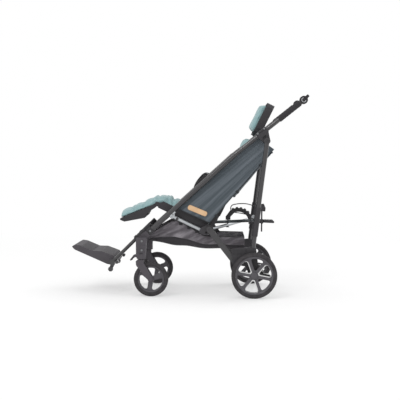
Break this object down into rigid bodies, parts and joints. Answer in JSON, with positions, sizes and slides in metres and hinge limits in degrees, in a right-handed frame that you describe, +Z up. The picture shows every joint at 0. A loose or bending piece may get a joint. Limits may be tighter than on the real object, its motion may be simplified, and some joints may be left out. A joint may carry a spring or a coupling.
{
  "type": "pediatric wheelchair",
  "caption": "Folding pediatric wheelchair: sloping side tubes with push handles, padded seat, back, head and leg rest, footplate, castors, spoked rear wheels and a basket.",
  "frame": {"origin": "on the ground, under the middle of the whole chair", "axes": "+X to the rear, where the push handles are, +Y to the occupant's right, +Z up"},
  "size_m": [1.2299, 0.5948, 1.0482],
  "materials": {
    "frame": "dark powder coat with a satin sheen",
    "bright": "satin",
    "grip": "matt",
    "moulding": "fine moulded grain",
    "shell": "fine moulded grain",
    "footplate": "grained, with grip ribs",
    "mint_fabric": "knitted spacer fabric",
    "black_fabric": "woven",
    "slate_fabric": "coated woven cloth",
    "mesh_fabric": "open mesh over cloth",
    "leather_tag": "smooth",
    "wheel_rim": "satin",
    "tyre": "matt",
    "cable": "smooth"
  },
  "bodies": {
    "frame": {"main_tube_left": "frame", "main_tube_right": "frame", "push_grips": "grip", "grip_knobs": "grip", "fold_brackets": "moulding", "castor_housing_left": "moulding", "castor_housing_right": "moulding", "front_cross_tube": "frame", "seat_rail_left": "bright", "seat_rail_right": "bright", "front_seat_rod": "frame", "rear_seat_rod": "frame", "hinge_block_left": "moulding", "hinge_block_right": "moulding", "seat_pan": "shell", "seat_cushion": "mint_fabric", "side_panel_left": "slate_fabric", "side_panel_right": "slate_fabric", "back_sling": "slate_fabric", "basket": "mesh_fabric", "basket_straps": "black_fabric", "side_tags": "leather_tag", "footrest_holders": "moulding", "bolt_heads": "bright"},
    "leg_rest": {"leg_rest_shell": "shell", "leg_rest_cushion": "mint_fabric"},
    "footrest": {"footrest_tubes": "frame", "footrest_crossbar": "bright"},
    "footplate": {"footplate": "footplate"},
    "backrest": {"back_board": "shell", "back_cushion": "mint_fabric", "trunk_pads": "black_fabric"},
    "headrest": {"headrest_shell": "shell", "headrest_pad": "mint_fabric"},
    "rear_frame": {"rear_leg_left": "frame", "rear_leg_right": "frame", "leg_sleeves": "moulding", "axle_casting_left": "moulding", "axle_casting_right": "moulding", "rear_axle_tube": "frame"},
    "strut_left": {"strut_left": "frame"},
    "strut_right": {"strut_right": "frame"},
    "brace": {"brace_arms": "bright", "brace_hub": "moulding", "release_cable": "cable"},
    "pedal": {"release_pedal": "moulding"},
    "brake": {"brake_bar": "frame"},
    "rear_wheel_left": {"rear_rim_left": "wheel_rim", "rear_tyre_left": "tyre"},
    "rear_wheel_right": {"rear_rim_right": "wheel_rim", "rear_tyre_right": "tyre"},
    "castor_left": {"castor_fork_left": "moulding"},
    "castor_right": {"castor_fork_right": "moulding"},
    "castor_wheel_left": {"castor_rim_left": "wheel_rim", "castor_tyre_left": "tyre"},
    "castor_wheel_right": {"castor_rim_right": "wheel_rim", "castor_tyre_right": "tyre"},
    "swivel_lock_left": {"swivel_lock_left": "moulding"},
    "swivel_lock_right": {"swivel_lock_right": "moulding"}
  },
  "joints": [
    {"name": "rear_fold", "type": "hinge", "parent": "frame", "child": "rear_frame", "pos_m": [0.4, 0, 0.806], "axis": [0, 1, 0], "range_deg": [0, 36.96], "deforming": ["basket"]},
    {"name": "strut_left_fold", "type": "hinge", "parent": "frame", "child": "strut_left", "pos_m": [0.108, -0.223, 0.348], "axis": [0, 1, 0], "range_deg": [0, 142]},
    {"name": "strut_right_fold", "type": "hinge", "parent": "frame", "child": "strut_right", "pos_m": [0.108, 0.223, 0.348], "axis": [0, 1, 0], "range_deg": [0, 142]},
    {"name": "brace_fold", "type": "hinge", "parent": "frame", "child": "brace", "pos_m": [0.108, 0, 0.348], "axis": [0, 1, 0], "range_deg": [0, 57]},
    {"name": "release_pedal_press", "type": "hinge", "parent": "brace", "child": "pedal", "pos_m": [0.372, 0, 0.38], "axis": [0, 1, 0], "range_deg": [0, 30]},
    {"name": "brake_press", "type": "hinge", "parent": "rear_frame", "child": "brake", "pos_m": [0.341, 0, 0.1175], "axis": [0, 1, 0], "range_deg": [0, 14]},
    {"name": "leg_rest_tilt", "type": "hinge", "parent": "frame", "child": "leg_rest", "pos_m": [-0.168, 0, 0.474], "axis": [0, 1, 0], "range_deg": [-25, 25]},
    {"name": "footrest_slide", "type": "slide", "parent": "frame", "child": "footrest", "axis": [0.7071, 0, 0.7071], "range_m": [-0.05, 0.03]},
    {"name": "footplate_flip", "type": "hinge", "parent": "footrest", "child": "footplate", "pos_m": [-0.39637, 0, 0.15923], "axis": [0, 1, 0], "range_deg": [0, 65]},
    {"name": "backrest_recline", "type": "hinge", "parent": "frame", "child": "backrest", "pos_m": [0.14, 0, 0.4], "axis": [0, 1, 0], "range_deg": [0, 10], "deforming": ["back_sling"]},
    {"name": "headrest_slide", "type": "slide", "parent": "backrest", "child": "headrest", "axis": [0.4368, 0, 0.8996], "range_m": [0, 0.055]},
    {"name": "rear_wheel_left_spin", "type": "hinge", "parent": "rear_frame", "child": "rear_wheel_left", "pos_m": [0.341, -0.278, 0.1175], "axis": [0, 1, 0], "continuous": true},
    {"name": "castor_left_swivel", "type": "hinge", "parent": "frame", "child": "castor_left", "pos_m": [-0.24, -0.243, 0.2], "axis": [0, 0, 1], "continuous": true},
    {"name": "castor_wheel_left_spin", "type": "hinge", "parent": "castor_left", "child": "castor_wheel_left", "pos_m": [-0.19, -0.243, 0.089], "axis": [0, 1, 0], "continuous": true},
    {"name": "swivel_lock_left_flip", "type": "hinge", "parent": "frame", "child": "swivel_lock_left", "pos_m": [-0.277, -0.243, 0.2076], "axis": [0, 1, 0], "range_deg": [-18, 12]},
    {"name": "rear_wheel_right_spin", "type": "hinge", "parent": "rear_frame", "child": "rear_wheel_right", "pos_m": [0.341, 0.278, 0.1175], "axis": [0, 1, 0], "continuous": true},
    {"name": "castor_right_swivel", "type": "hinge", "parent": "frame", "child": "castor_right", "pos_m": [-0.24, 0.243, 0.2], "axis": [0, 0, 1], "continuous": true},
    {"name": "castor_wheel_right_spin", "type": "hinge", "parent": "castor_right", "child": "castor_wheel_right", "pos_m": [-0.19, 0.243, 0.089], "axis": [0, 1, 0], "continuous": true},
    {"name": "swivel_lock_right_flip", "type": "hinge", "parent": "frame", "child": "swivel_lock_right", "pos_m": [-0.277, 0.243, 0.2076], "axis": [0, 1, 0], "range_deg": [-18, 12]}
  ],
  "couplings": [
    {"joint": "strut_left_fold", "follows": "rear_fold", "ratio": 3.84},
    {"joint": "strut_right_fold", "follows": "rear_fold", "ratio": 3.84},
    {"joint": "brace_fold", "follows": "rear_fold", "ratio": 1.54}
  ]
}
